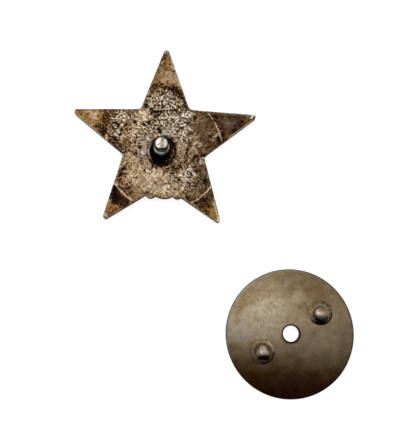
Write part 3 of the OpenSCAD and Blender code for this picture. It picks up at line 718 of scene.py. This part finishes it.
first_wall = back_x.size
first_front = first_wall + wall[..., 0].size
last_row = first_front - wall.shape[1]
star_points = np.concatenate([part.reshape(-1, 3) for part in (back, wall, front)])
star_faces = np.concatenate(back_faces + [
    cells(wall.shape[:2], first_wall),
    halving(wall.shape[1], front.shape[1], last_row, first_front),
    cells(front.shape[:2], first_front)])

# The wall is painted dark as shade, and keeps dirt in soft streaks from face to face, crossed by
# blotches that change down it
wall_x, wall_y, wall_z = (wall[..., k] for k in range(3))
wall_shade_and_dirt = (0.17 + 0.03 * noise(27, 1.0, wall_x, wall_y)
             + 0.04 * noise(28, 2.5, wall_x, wall_y + 3 * wall_z)
             + 0.03 * noise(29, 1.4, wall_x + 1.7 * wall_z, wall_y - 1.3 * wall_z))


def over_star(key, wall_value, front_value):
    """A field of the back, with values for the wall and the front."""
    return np.concatenate([fields[key].ravel(), (wall_value + 0 * wall_x).ravel(),
                           np.full(front.shape[:2], front_value).ravel()])


placed = np.column_stack([star_points[:, :2] @ TURNED.T + STAR_AT, star_points[:, 2]])
star = build("silver_star", "star_body", "star_silver", placed, star_faces,
             tone=over_star("tone", wall_shade_and_dirt, 0.45), gold=over_star("gold", 0.3, 0.4),
             grey=over_star("grey", 0.3, 0.3))

# %% [markdown]
# ## The screw post
# The post is turned from a rod: a flat foot, a flare, a thread and a worn tip. Turned things
# are a profile carried round an axis, so the two parameters are the way along the profile and
# the angle. A thread breaks that rule in one place only. Its radius goes up and down along the
# axis, and the wave climbs by one pitch for each turn. Wear has rounded its crests. The tip is
# a bright worn disc with a tan band across it. Below it the post is nearly black, painted
# darker still towards its foot as shade, with a few pale streaks that are painted highlights,
# with some wear where fingers reach, and painted highlights on turned rings round its foot.

# %% Profiles carried round an axis
def spin(profile, steps, crowd=0.0, toward=0.0):
    """Rows of (r, z) carried once round the Z axis, counter-clockwise, first angle repeated. The
    steps can crowd near one direction and near its opposite, at little cost elsewhere."""
    angle = np.linspace(0, 2 * np.pi, steps + 1)
    angle = angle - crowd * (np.sin(2 * (angle - toward)) + np.sin(2 * toward))
    r, z = np.array(profile, float).T[:, :, None]
    return np.stack([r * np.cos(angle), r * np.sin(angle), z + 0 * angle], -1)


def arc(middle, r, start, end, steps):
    """Points of (r, z) on an arc, from one direction to another, in degrees."""
    a = np.radians(np.linspace(start, end, steps + 1))
    return [(middle[0] + r * np.cos(t), middle[1] + r * np.sin(t)) for t in a]


# %% The post's shape
THREAD_PITCH = 0.7
THREAD_DEPTH = 0.26
THREAD_FROM, THREAD_TO = 0.5, 7.3
CREST_FLATNESS = 2.0
post_profile = np.array(
    [(0.0, POST_H - 0.09), (0.8, POST_H - 0.09), (1.2, POST_H - 0.09), (1.38, POST_H - 0.10)]
    + arc((1.38, POST_H - 0.22), 0.12, 80, 15, 5)
    + [(1.56, POST_H - 0.38), (1.72, POST_H - 0.62), (1.86, POST_H - 0.95), (1.93, THREAD_TO)]
    + [(POST_R, h) for h in np.arange(THREAD_TO, THREAD_FROM, -THREAD_PITCH / 10)]
    + [(2.02, 0.35), (2.12, 0.1), (2.3, -0.15)] + arc((2.9, -0.6), 0.2, 95, 10, 5)
    + [(3.12, -0.6), (3.15, -0.75)] + arc((3.1, -0.78), 0.05, 0, -90, 2)
    + [(1.5, -0.83), (0.0, -0.83)])
post_x, post_y, height = np.moveaxis(spin(post_profile, steps=120), -1, 0)
heading = np.arctan2(post_y, post_x)
# The thread cuts in by (1 - wave) / 2 of its depth, and less towards the tip, where it is worn
climb = height / THREAD_PITCH - heading / (2 * np.pi)
wave = np.tanh(CREST_FLATNESS * np.sin(2 * np.pi * climb)) / np.tanh(CREST_FLATNESS)
in_thread = ease(THREAD_FROM, THREAD_FROM + 0.3, height) * ease(THREAD_TO, THREAD_TO - 0.4, height)
worn = 1 - 0.35 * ease(4.5, THREAD_TO, height)
cut = THREAD_DEPTH / 2 * (1 - wave) * in_thread * worn
shrink = 1 - cut / np.maximum(np.hypot(post_x, post_y), 0.5)
post_x, post_y = post_x * shrink, post_y * shrink
# The tip is a little uneven, with one bruise
bruise = 0.6 * spot(post_x, post_y, -0.62, -0.15, 0.28, 0.10, 75, 0.7)
dents = 0.012 * noise(31, 1.2, post_x, post_y) - 0.07 * bruise
post_z = height + ease(POST_H - 0.3, POST_H - 0.1, height) * dents

# %% The post's finish
# The tip: white metal with a tan band across it, a dark bruise, and darker at its near edge
band = spot(post_x, post_y, 0.18, 0.0, 0.45, 2.4, -6, 0.7)
tip_tone = 0.685 - 0.20 * band - 0.07 * ease(-0.6, 0.6, post_x) - 0.70 * bruise
tip_tone = tip_tone + 0.035 * noise(32, 0.5, post_x, post_y)
tip_tone = tip_tone - 0.45 * ease(-1.18, -1.3, post_y)
# Painted highlights as streaks on the flanks: strength, direction in degrees, height, half sizes
# of both, softness
FLANK_HIGHLIGHTS = [(0.75, -22, 6.3, 26, 1.5, 0.8), (0.5, 180, 5.6, 26, 2.2, 0.8),
           (0.5, -180, 5.6, 34, 2.4, 0.8), (0.90, -92, 5.7, 42, 1.8, 0.7),
           (0.55, -143, 5.2, 24, 2.2, 0.8)]
degrees = np.degrees(heading)
flank_highlights = sum(strength * spot(degrees, height, at_a, at_h, half_a, half_h, 0, soft)
             for strength, at_a, at_h, half_a, half_h, soft in FLANK_HIGHLIGHTS)
flank_highlights = np.minimum(flank_highlights, 1) * (0.75 + 0.25 * wave)
shank = 0.10 + 0.85 * flank_highlights + 0.04 * wave * ease(2, 6, height)
post_tone = shank + (tip_tone - shank) * ease(POST_H - 0.32, POST_H - 0.14, height)
# Painted shade: the post darkens towards its foot, deep in the seat
post_tone = post_tone * ease(-1.2, 2.5, height) + 0.01
# The foot is dark in painted shade, with painted highlights on turned rings at its lower right
FOOT_RING_GAP = 0.42
foot_r, foot_noise = np.hypot(post_x, post_y), noise(33, 0.7, post_x, post_y)
foot_ring_highlights = ease(-0.3, 0.9, np.sin(2 * np.pi * foot_r / FOOT_RING_GAP) + 0.6 * foot_noise)
foot_ring_highlights = (0.35 + 0.65 * foot_ring_highlights) * spot(degrees, foot_r, -28, 2.85, 50, 0.6, 0, 0.7)
post_tone += 0.75 * foot_ring_highlights * ease(0.4, 0.0, height)

post_place = np.append(TURNED @ POST_AT + STAR_AT, BACK_Z)
post = build("turned_post", "screw_post", "post_silver",
             np.stack([post_x, post_y, post_z], -1) + post_place, cells(height.shape),
             tone=post_tone, gold=ease(1.0, 0.3, height), grey=0 * height)

# %% [markdown]
# ## The nut's plate
# The plate is a disc cut from sheet and pressed into a shallow dish: both faces are parts of
# spheres that share one centre. Its grid is polar, rings by angles, and the angles crowd
# towards the two grips. Each grip stands in a round seat, so the rings' points near a seat are
# drawn to its wall, as at the star's seat. The surface is smooth but not perfect: rolling and
# handling leave it faintly uneven, and that shows only in how the light runs over it. Its
# finish is charted like the star's: a few broad patches, some of them painted light, paler on
# the upper left and darker at the top; fine slanted scratches on the upper left; painted shade
# that darkens it towards the bottom, round its seats and in its hole; and a rim painted with
# highlights on the upper left and a little on the right, and with shade elsewhere.

# %% The plate, from the top of its hole over the rim to the underside
STUDS = {"right": (9.3, 34.2), "left": (8.6, 211.0)}
SEAT_IN_PLATE_R, SEAT_IN_PLATE_DEPTH = COLLAR_R + 0.012, 0.33
PLATE_RINGS = 124
HOLE_R, SINK_R, HOLE_THREAD = 2.0, 2.28, 0.09
# In mm: how much the top's level changes over long and short waves, and how far it is worn down
SWELL, DIMPLES, TOP_WORN = 0.013, 0.0016, 0.03


def crown(r):
    """The top face's level: its centre's, plus the root of CROWN_R squared less r squared."""
    return DISH_Z + np.sqrt(CROWN_R ** 2 - r ** 2)


def hollow(r):
    """The underside's level, in the same way with DISH_R."""
    return DISH_Z + np.sqrt(np.maximum(DISH_R ** 2 - r ** 2, 0))


rim_top = crown(NUT_R - 0.25)
ring_r = np.interp(np.arange(PLATE_RINGS), [0, 16, 96, PLATE_RINGS - 1],
                   [SINK_R + 0.12, 5.8, 12.4, NUT_R - 0.27])
top_rings = [(r, crown(r)) for r in ring_r]
plate_profile = np.array(
    [(HOLE_R, z) for z in np.linspace(hollow(2.1) + 0.12, crown(2.1) - 0.42, 10)]
    + [(HOLE_R + 0.05, crown(2.1) - 0.36), (SINK_R - 0.04, crown(SINK_R) - 0.03),
       (SINK_R + 0.04, crown(SINK_R))]
    + top_rings + arc((NUT_R - 0.3, rim_top - 0.31), 0.3, 78, 0, 7)
    + [(NUT_R, 0.45), (NUT_R, 0.2)] + arc((NUT_R - 0.12, 0.12), 0.12, 0, -90, 3)
    + [(NUT_R - NUT_LAND, 0.0)]
    + [(r, hollow(r)) for r in np.linspace(NUT_R - NUT_LAND - 0.5, 2.2, 26)]
    + [(2.08, hollow(2.1) + 0.04), (HOLE_R, hollow(2.1) + 0.12)])
plate_grid = spin(plate_profile, steps=400, crowd=0.22, toward=np.radians(33))
px, py, pz = (plate_grid[..., k] for k in range(3))
plate_r = np.hypot(px, py)
in_hole = ease(HOLE_R + 0.12, HOLE_R + 0.02, plate_r)
thread = 0.5 + 0.5 * np.sin(2 * np.pi * (pz / THREAD_PITCH - np.arctan2(py, px) / (2 * np.pi)))
widen = 1 + in_hole * HOLE_THREAD * thread / plate_r
px, py = px * widen, py * widen
on_top = (ease(-0.25, -0.05, pz - crown(np.minimum(plate_r, NUT_R)))
          * ease(SINK_R, SINK_R + 0.3, plate_r))
uneven = SWELL * noise(41, 9.0, px, py) + DIMPLES * noise(42, 2.2, px, py)
pz = pz + on_top * (uneven - TOP_WORN) * ease(NUT_R, NUT_R - 1.0, plate_r)


def stud_frame(reach, angle):
    """Axes of a stud as rows: outwards, sideways, up, square to the dome; and where it stands."""
    tilt, heading = np.arcsin(reach / CROWN_R), np.radians(angle)
    out = np.array([np.cos(heading) * np.cos(tilt), np.sin(heading) * np.cos(tilt), -np.sin(tilt)])
    up = np.array([np.cos(heading) * np.sin(tilt), np.sin(heading) * np.sin(tilt), np.cos(tilt)])
    return np.array([out, np.cross(up, out), up]), np.array([0, 0, DISH_Z]) + CROWN_R * up


seat_edge_shade = np.zeros(px.shape)
for reach, stud_angle in STUDS.values():
    axes, foot = stud_frame(reach, stud_angle)
    local = (np.stack([px, py, pz], -1) - foot) @ axes.T
    local[..., :2], r, drawn = sharp_wall(local[..., :2], SEAT_IN_PLATE_R, catch=0.07,
                                             split=0.006)
    near = (r < COLLAR_R + 1) & (on_top > 0)
    local[..., 2] -= ease(0.0, -0.01, drawn - SEAT_IN_PLATE_R) * SEAT_IN_PLATE_DEPTH
    moved = local @ axes + foot
    px, py, pz = (np.where(near, moved[..., k], old) for k, old in enumerate((px, py, pz)))
    seat_edge_shade = np.maximum(seat_edge_shade, near * ease(0.22, 0.0, r - SEAT_IN_PLATE_R))

# %% The plate's finish: where, how big and how turned, softness, then tone, gold, grey
# Some patches are painted light: paler on the upper left and at the right, where the lamps' sheen
# falls, and darker towards the top
PLATE_PATCHES = [
    (0, 0, 19, 19, 0, 0.3, 0.58, 0.2, 0.1),
    (-7, 4, 6.5, 6, 30, 0.9, 0.615, 0, 0.25),
    (-13, 0.8, 3.5, 2.5, 0, 0.9, 0.62, 0.05, 0.4),
    (-6.3, 4.2, 2, 4, 25, 0.8, 0.635, 0, 0.25),
    (-11.8, 8.2, 2.6, 1.3, 52, 0.7, 0.5, 0.35, 0),
    (6, 12.5, 8, 4, -30, 0.9, 0.46, 0.12, 0),
    (-1, 14, 5, 3, 0, 0.9, 0.51, 0.2, 0.15),
    (-10, 10.5, 4, 2, 45, 0.9, 0.52, 0.15, 0.1),
    (13, -2, 5, 8, 0, 0.9, 0.565, 0.2, 0.15),
    (8.5, -4, 4.2, 3.2, 0, 0.9, 0.66, 0.2, 0.1),
]
flat_tone, flat_gold, flat_grey = (np.full(px.shape, v) for v in (0.5, 0.3, 0.2))
bend = [1.2 * noise(seed, 5.0, px, py) for seed in (43, 44)]
paint((flat_tone, flat_gold, flat_grey), PLATE_PATCHES, px + bend[0], py + bend[1])
# Painted shade: darker towards the bottom, where the dish's near slope mirrors the dark side of
# the room, and browner there too
flat_tone -= 0.38 * ease(-1.5, -17.8, py + 0.10 * px + 0.4 * bend[1])
flat_gold += 0.50 * ease(-3.0, -12.0, py)
clouds = 0.012 * noise(45, 3.0, px, py) + 0.010 * noise(46, 1.2, px, py)
# Fine slanted scratches, deepest on the upper left, and small specks of dirt all over
scratched = (0.22 + 0.78 * spot(px, py, -6.5, 4.0, 4.0, 5.5, 20, 0.9)
             + 0.25 * spot(px, py, -1, 8, 5, 4, 0, 0.9))
scratches = noise(48, 0.8, px + 0.2 * bend[0], py, spread=0.6, turn=112, stretch=3.2)
specks = ease(1.9, 3.0, noise(49, 0.5, px, py, 0.4))
plate_tone = flat_tone + clouds + 0.040 * scratched * scratches - 0.10 * specks
# Painted shade in a thin ring round each grip's seat
plate_tone = plate_tone * (1 - 0.05 * seat_edge_shade)
# The rim is painted with highlights round its upper left and a little at its right, and with
# shade elsewhere
rim_angle = np.degrees(np.arctan2(py, px)) % 360
from_right = np.abs((rim_angle + 175) % 360 - 180)
rim_light_and_shade = (0.12 + 0.45 * spot(rim_angle, 0 * px, 135, 0, 78, 1, 0, 0.4)
            + 0.30 * ease(75, 20, from_right))
on_rim = ease(NUT_R - 0.6, NUT_R - 0.3, plate_r + 0.15 * scratches) * (pz > 0.05)
plate_tone = np.where(on_top + on_rim > 0.5, plate_tone, 0.4) + (rim_light_and_shade - plate_tone) * on_rim
# Inside the hole and its sink the plate is painted dark, as shade
plate_tone = np.where(plate_r < SINK_R + 0.1, 0.15, plate_tone)
plate_gold = flat_gold + 0.045 * noise(47, 3.5, px, py)
plate_grey = flat_grey + 0.035 * noise(50, 2.5, px, py) + 0.7 * on_rim * ease(0.3, 0.6, rim_light_and_shade)

plate_place = np.append(NUT_AT, 0.0)
plate = build("dished_plate", "nut_plate", "nut_metal",
              np.stack([px, py, pz], -1) + plate_place, cells(px.shape),
              tone=plate_tone, gold=plate_gold, grey=plate_grey)

# %% [markdown]
# ## The grips
# Each grip is a turned stud: a low collar that slopes up to a groove, and a dome in the middle.
# The same function makes both, and small numbers set them apart: how high the dome stands, how
# far it sits off the collar's middle, and to which side its crest is worn. The marks on each are
# painted light and shade, pale highlights and dark crescents, charted as on the star.

# %% Marks on the grips
# x and y run over the plate in mm, from the collar's middle. The marks are painted light: pale
# highlights on the dome and collar, dark crescents of shade below them. A spot has half sizes,
# turn, softness and tone; a line has width, softness, tone, share and its points.
GRIP_LIGHT_AND_SHADE_SPOTS = {
    "right": [(0, -0.35, 1.85, 1.85, 0, 0.15, 0.64), (-0.5, 0, 1.3, 1.3, 0, 0.5, 0.71),
              (-1.25, 0.3, 0.6, 0.75, 0, 0.7, 0.95), (0.05, 0.2, 0.5, 0.7, 0, 0.8, 0.7),
              (-0.6, 0.1, 0.16, 0.8, 0, 0.8, 0.66), (0.5, 0.95, 0.7, 0.5, -25, 0.6, 0.56),
              (-1.6, 1.9, 0.9, 0.6, 40, 0.6, 0.44)],
    "left": [(0, -0.3, 1.85, 1.85, 0, 0.15, 0.5), (0.1, -0.35, 1.75, 0.6, 0, 0.5, 0.72),
             (0, 0.25, 1.15, 0.8, 0, 0.5, 0.7), (-0.05, 1.1, 0.8, 0.65, 0, 0.5, 0.86),
             (-0.42, -0.05, 0.24, 0.75, 0, 0.7, 0.78), (0.55, -0.1, 0.36, 0.65, 15, 0.7, 0.7),
             (0.2, -1.55, 1.5, 0.62, 0, 0.2, 0.01), (-1.45, 1.05, 0.2, 0.3, -20, 0.5, 0.18)],
}
GRIP_LIGHT_AND_SHADE_LINES = {
    "right": [(0.26, 0.7, 0.66, 0.8, [(-1.2, 1.8), (0, 2.05), (1.1, 1.6), (1.75, 0.8),
                                      (2.15, -0.15), (2.1, -1.1)]),
              (0.6, 0.8, 0.6, 0.8, [(-1.2, 1.5), (-1.75, 0.8), (-1.95, 0), (-1.75, -0.8)]),
              (0.6, 0.7, 0.08, 0.9, [(-1.2, -1.55), (-0.6, -1.95), (0.3, -2), (1.1, -1.6),
                                     (1.6, -1.1)]),
              (0.3, 0.6, 0.04, 1, [(-2.3, -1.95), (-1.8, -2.35), (-0.1, -2.85), (1.2, -2.65),
                                   (2.3, -2), (2.85, -1.1), (3, -0.1)]),
              (0.6, 0.5, 0.02, 1, [(-1.2, -2.45), (-0.1, -2.7), (1, -2.5)]),
              (0.3, 0.8, 0.22, 0.8, [(0.6, 2.7), (1, 2.65)]),
              (0.22, 0.8, 0.3, 0.7, [(1.7, 2.3), (2.2, 1.8)])],
    "left": [(0.4, 0.8, 0.54, 0.7, [(-1.8, 0.4), (-1.3, 1.4), (0, 1.95), (1.3, 1.5), (1.8, 0.6)]),
             (0.14, 0.8, 0.42, 0.9, [(-0.25, 1), (0.05, -0.6)]),
             (0.38, 0.6, 0.38, 0.9, [(-1.3, -2.1), (-0.3, -2.6), (0.8, -2.6), (1.9, -2)]),
             (0.34, 0.6, 0.06, 0.95, [(2.95, -0.5), (2.8, -1.4), (2.2, -2.3), (1.3, -2.9),
                                      (0.1, -3)]),
             (0.5, 0.8, 0.72, 0.9, [(1.5, 2.3), (2, 2), (2.6, 1.2), (2.9, 0.3)]),
             (0.3, 0.8, 0.64, 0.8, [(-2.5, 0.3), (-2.3, -0.9), (-1.7, -1.9)])],
}


# %% The two studs
def make_stud(side, rise, lean, drop, seed):
    """A profile of (r, height over the plate) carried round the stud's own tilted axis. The dome
    is a flattened ball that sits a little off the collar's middle, by its lean in x and y, and
    its crest is worn towards one side, by its drop."""
    reach, stud_angle = STUDS[side]
    dome_r, cap, top = 1.86, 1.2, 2.2 + 0.35 * rise
    dome = [(x, top - cap + z * cap / dome_r) for x, z in arc((0, 0), dome_r, 90, 0, 26)]
    profile = (dome + [(dome_r, 0.75), (dome_r + 0.05, 0.30 + 0.8 * rise),
                       (dome_r + 0.14, 0.03 + 0.85 * rise),
                       (2.14, 0.02 + 0.95 * rise), (2.26, 0.05 + 0.98 * rise),
                       (2.36, 0.04 + 0.86 * rise), (2.5, 0.03 + 0.70 * rise),
                       (2.75, 0.01 + 0.38 * rise), (2.95, -0.02 + 0.14 * rise)]
               + arc((COLLAR_R - 0.02, -0.05), 0.02, 80, 0, 3)
               + arc((COLLAR_R - 0.06, -0.23), 0.06, 0, -90, 2) + [(2.0, -0.29), (0, -0.29)])
    x, y, z = np.moveaxis(spin(profile, steps=120), -1, 0)
    r = np.hypot(x, y)
    on_dome = ease(2.3, dome_r + 0.05, r) * (z > 0)
    axes, foot = stud_frame(reach, stud_angle)
    flat_axes = axes[:2, :2]
    shift = (on_dome[..., None] * (flat_axes @ lean)
             + ease(0.8, top, z)[..., None] * (flat_axes @ drop))
    z = z + 0.005 * noise(seed, 1.2, x, y) * on_dome
    at = np.stack([x + shift[..., 0], y + shift[..., 1], z], -1) @ axes
    over_x, over_y = at[..., 0], at[..., 1]
    # Painted shade in the groove round the dome
    tone = 0.50 - 0.06 * ease(0.28, 0.06, np.abs(r - 1.98))
    tone += 0.04 * noise(seed + 1, 1.0, over_x, over_y)
    paint([tone], GRIP_LIGHT_AND_SHADE_SPOTS[side], over_x, over_y)
    for width, soft, value, share, points in GRIP_LIGHT_AND_SHADE_LINES[side]:
        tone += (value - tone) * share * trace(over_x, over_y, width, soft, points)
    # Below the plate's level the stud is painted dark, as shade in its seat
    tone = np.where(z < -0.1, 0.1, tone)
    gold, grey = 0.1 + 0.12 * ease(1.8, 2.3, r), 0.05 + 0.15 * ease(2.3, 1.8, r)
    return build(f"domed_grip_{side}", f"grip_stud_{side}", "grip_metal",
                 at + foot + plate_place, cells(z.shape), tone=tone, gold=gold, grey=grey)


grip_right = make_stud("right", 0.12, (-0.05, -0.35), (0.0, -0.15), 51)
grip_left = make_stud("left", 0.06, (0.18, -0.15), (0.0, -0.28), 53)

# %% [markdown]
# ## Metal that has aged
# Real silver is bright, but what covers it here is a thin skin of tarnish with dirt in its
# pits. So the material isn't a clean metal: where the tone is dark it is matt and hardly
# metallic, and where it is pale it is half polished. The fields that rode with the mesh say
# where is which. Noise in the material adds the grain that is finer than the mesh. Colours
# are given as a paint chart gives them, and one function turns them into light.

# %% Colours and nodes
def light(hex_colour):
    """An sRGB colour as linear light: each channel c becomes ((c + 0.055) / 1.055) ** 2.4."""
    c = np.array([int(hex_colour[i:i + 2], 16) for i in (1, 3, 5)]) / 255
    return (*np.where(c <= 0.04045, c / 12.92, ((c + 0.055) / 1.055) ** 2.4), 1.0)


def add(material, kind, inputs, **settings):
    """Adds a node with its settings. Each input is linked to a socket or set to a value."""
    node = material.node_tree.nodes.new(kind)
    for key, value in settings.items():
        setattr(node, key, value)
    for key, value in inputs.items():
        if isinstance(value, bpy.types.NodeSocket):
            material.node_tree.links.new(value, node.inputs[key])
        else:
            node.inputs[key].default_value = value
    return node


def between(material, share, low, high):
    """A share from 0 to 1 as a value from low to high."""
    node = add(material, "ShaderNodeMapRange", {"Value": share, "To Min": low, "To Max": high})
    return node.outputs["Result"]


def ramp(material, source, stops):
    """A colour for each level of a value, blended between."""
    node = add(material, "ShaderNodeValToRGB", {"Fac": source})
    while len(node.color_ramp.elements) < len(stops):
        node.color_ramp.elements.new(0.5)
    for element, (level, colour) in zip(node.color_ramp.elements, stops):
        element.position, element.color = level, light(colour)
    return node.outputs["Color"]


def new_material(name):
    """An empty node tree under a name."""
    material = bpy.data.materials.new(name)
    material.use_nodes = True
    material.node_tree.nodes.clear()
    return material


def per_mm(length):
    """The scale at which a noise texture's waves have a length in mm, for objects in metres."""
    return 1 / (length * MM)


# %% Aged metal, for all five pieces
# The colour that full gold multiplies by, the saturation that full grey leaves, and how little
# dry dirt mirrors
GOLD_TINT, GREYEST, DIRT_SPECULAR = light("#f6d9a2"), 0.3, 0.12


def aged_metal(pieces, name, stops, grain_mm, grain_tone, bump_mm, roughness, metallic):
    """Tone, with noise added as grain, picks the colour from the stops. Gold and grey lean it.
    Roughness and metallic are given where the tone is 0 and where it is 1."""
    m = new_material(name)
    place = add(m, "ShaderNodeTexCoord", {}).outputs["Object"]
    tone, gold, grey = (add(m, "ShaderNodeAttribute", {}, attribute_name=key).outputs["Fac"]
                        for key in ("tone", "gold", "grey"))
    grain = add(m, "ShaderNodeTexNoise", {"Vector": place, "Scale": per_mm(grain_mm),
                                          "Detail": 3.0, "Roughness": 0.6}).outputs["Fac"]
    around = add(m, "ShaderNodeMath", {0: grain, 1: 0.5}, operation="SUBTRACT").outputs[0]
    level = add(m, "ShaderNodeMath", {0: around, 1: grain_tone, 2: tone},
                operation="MULTIPLY_ADD").outputs[0]
    warm = add(m, "ShaderNodeMix", {"Factor": gold, "A": ramp(m, level, stops), "B": GOLD_TINT},
               data_type="RGBA", blend_type="MULTIPLY").outputs["Result"]
    cool = add(m, "ShaderNodeHueSaturation",
               {"Color": warm, "Saturation": between(m, grey, 1.0, GREYEST)})
    bump = add(m, "ShaderNodeBump", {"Height": grain, "Distance": bump_mm * MM})
    shader = add(m, "ShaderNodeBsdfPrincipled",
                 {"Base Color": cool.outputs["Color"], "Roughness": between(m, level, *roughness),
                  "Metallic": between(m, level, *metallic), "Normal": bump.outputs["Normal"],
                  "Specular IOR Level": DIRT_SPECULAR})
    add(m, "ShaderNodeOutputMaterial", {"Surface": shader.outputs["BSDF"]})
    for piece in pieces:
        piece.data.materials.append(m)
    print(name, "on", [piece.name for piece in pieces])


# Struck silver that has corroded: brown and matt where dirt lies, satin where it is worn
aged_metal([star], "tarnished_struck_silver",
           [(0.0, "#0a0401"), (0.2, "#3a1f09"), (0.4, "#6d5130"), (0.6, "#9f8560"),
            (0.8, "#cdb99c"), (1.0, "#f8f0e4")],
           grain_mm=0.28, grain_tone=0.22, bump_mm=0.02, roughness=(0.85, 0.42),
           metallic=(0.1, 0.65))
# Rolled nickel silver under an even brown tarnish: a dull sheen all over
aged_metal([plate], "tarnished_rolled_nickel_silver",
           [(0.0, "#080301"), (0.2, "#2a1506"), (0.35, "#4a2e12"), (0.5, "#6b5b41"),
            (0.75, "#9c8c72"), (1.0, "#d2c5b0")],
           grain_mm=0.35, grain_tone=0.06, bump_mm=0.003, roughness=(0.46, 0.34),
           metallic=(0.6, 0.9))
# Turned nickel silver that fingers have polished: a soft gloss, brown in the groove
aged_metal([grip_right, grip_left], "tarnished_turned_nickel_silver",
           [(0.0, "#080301"), (0.2, "#2a1506"), (0.35, "#4a3216"), (0.5, "#6a5c41"),
            (0.75, "#a08e7c"), (1.0, "#e2d5c3")],
           grain_mm=0.3, grain_tone=0.05, bump_mm=0.002, roughness=(0.5, 0.37),
           metallic=(0.75, 0.98))
# Turned silver: nearly black on its dirty flanks, bright and white where it is worn
aged_metal([post], "worn_turned_silver",
           [(0.0, "#020201"), (0.25, "#2a231a"), (0.5, "#7b746b"), (0.75, "#beb6ae"),
            (1.0, "#f7f4ef")],
           grain_mm=0.4, grain_tone=0.04, bump_mm=0.006, roughness=(0.5, 0.25),
           metallic=(0.9, 0.9))

# %% [markdown]
# ## Table, light and camera
# The table is a plain near-white sheet that glows a little, so shadows on it stay faint. Two
# wide soft lights hang over its far side with a gap between them, the left one brighter, and a
# low strip stands at each end. The room is pale on its far side and dark on its near one. So
# the flat star mirrors the lights while the near slope of the domed nut mirrors the dark, and
# that is why a dome shows its shape at all. The camera itself sees a plain pale backdrop. It
# stands close, almost straight above, and leans a few degrees. A short distance makes what is
# higher look larger.

# %% The table
bpy.ops.mesh.primitive_plane_add(size=4.0, location=(0, 0, 0))
floor = bpy.context.object
floor.name = "table"
card = new_material("matt_white_card")
matt = add(card, "ShaderNodeBsdfPrincipled",
           {"Base Color": (0.3, 0.3, 0.3, 1), "Roughness": 0.9,
            "Emission Color": (1, 1, 1, 1), "Emission Strength": 0.87})
add(card, "ShaderNodeOutputMaterial", {"Surface": matt.outputs["BSDF"]})
floor.data.materials.append(card)


# %% Light
def soft_light(name, at, width, depth, radiance, tilt=0.0):
    """A rectangular light that faces down, or is tilted round Y in degrees. Its power is its
    radiance times pi times its area."""
    lamp = bpy.data.lights.new(name, "AREA")
    lamp.shape, lamp.size, lamp.size_y = "RECTANGLE", width, depth
    lamp.energy = radiance * np.pi * width * depth
    holder = bpy.data.objects.new(name, lamp)
    holder.location, holder.rotation_euler = at, (0, np.radians(tilt), 0)
    bpy.context.scene.collection.objects.link(holder)


LAMP_HEIGHT = 0.70
soft_light("left_softbox", (-0.16, 0.184, LAMP_HEIGHT), 0.475, 0.44, 2.9)
soft_light("right_softbox", (0.36, 0.184, LAMP_HEIGHT), 0.535, 0.44, 1.6)
soft_light("left_strip", (-0.85, 0.05, 0.38), 0.35, 0.8, 0.5, -66)
soft_light("right_strip", (0.85, 0.05, 0.38), 0.35, 0.8, 0.8, 66)

# %% The room
# Walls that the metal mirrors, pale on the far side and dark on the near one: a ramp of the
# direction's share along FAR_SIDE. The camera itself sees a plain pale backdrop.
FAR_SIDE = (-0.1, 0.95, 0.3)
room = bpy.data.worlds.new("room")
room.use_nodes = True
room.node_tree.nodes.clear()
way = add(room, "ShaderNodeTexCoord", {}).outputs["Generated"]
share = add(room, "ShaderNodeVectorMath", {0: way, 1: FAR_SIDE}, operation="DOT_PRODUCT")
level = add(room, "ShaderNodeMapRange",
            {"Value": share.outputs["Value"], "From Min": 0.05, "From Max": 0.55,
             "To Min": 0.03, "To Max": 0.55}, interpolation_type="SMOOTHSTEP")
walls = add(room, "ShaderNodeBackground",
            {"Color": (1, 1, 1, 1), "Strength": level.outputs["Result"]})
backdrop = add(room, "ShaderNodeBackground", {"Color": (0.93, 0.93, 0.925, 1), "Strength": 1.0})
seen = add(room, "ShaderNodeLightPath", {}).outputs["Is Camera Ray"]
both = add(room, "ShaderNodeMixShader", {0: seen, 1: walls.outputs[0], 2: backdrop.outputs[0]})
add(room, "ShaderNodeOutputWorld", {"Surface": both.outputs["Shader"]})
bpy.context.scene.world = room
bpy.context.scene.view_settings.view_transform = "Standard"

# %% Camera
# 19 cm over the table, and leaning by the angles that put both things where the picture has them
camera = bpy.data.cameras.new("camera")
camera.lens, camera.sensor_width = 40.01, 24.0
camera_holder = bpy.data.objects.new("camera", camera)
camera_holder.location = (-0.009653, -0.025264, 0.190)
camera_holder.rotation_euler = np.radians((7.661, -2.288, -0.176))
bpy.context.scene.collection.objects.link(camera_holder)
bpy.context.scene.camera = camera_holder
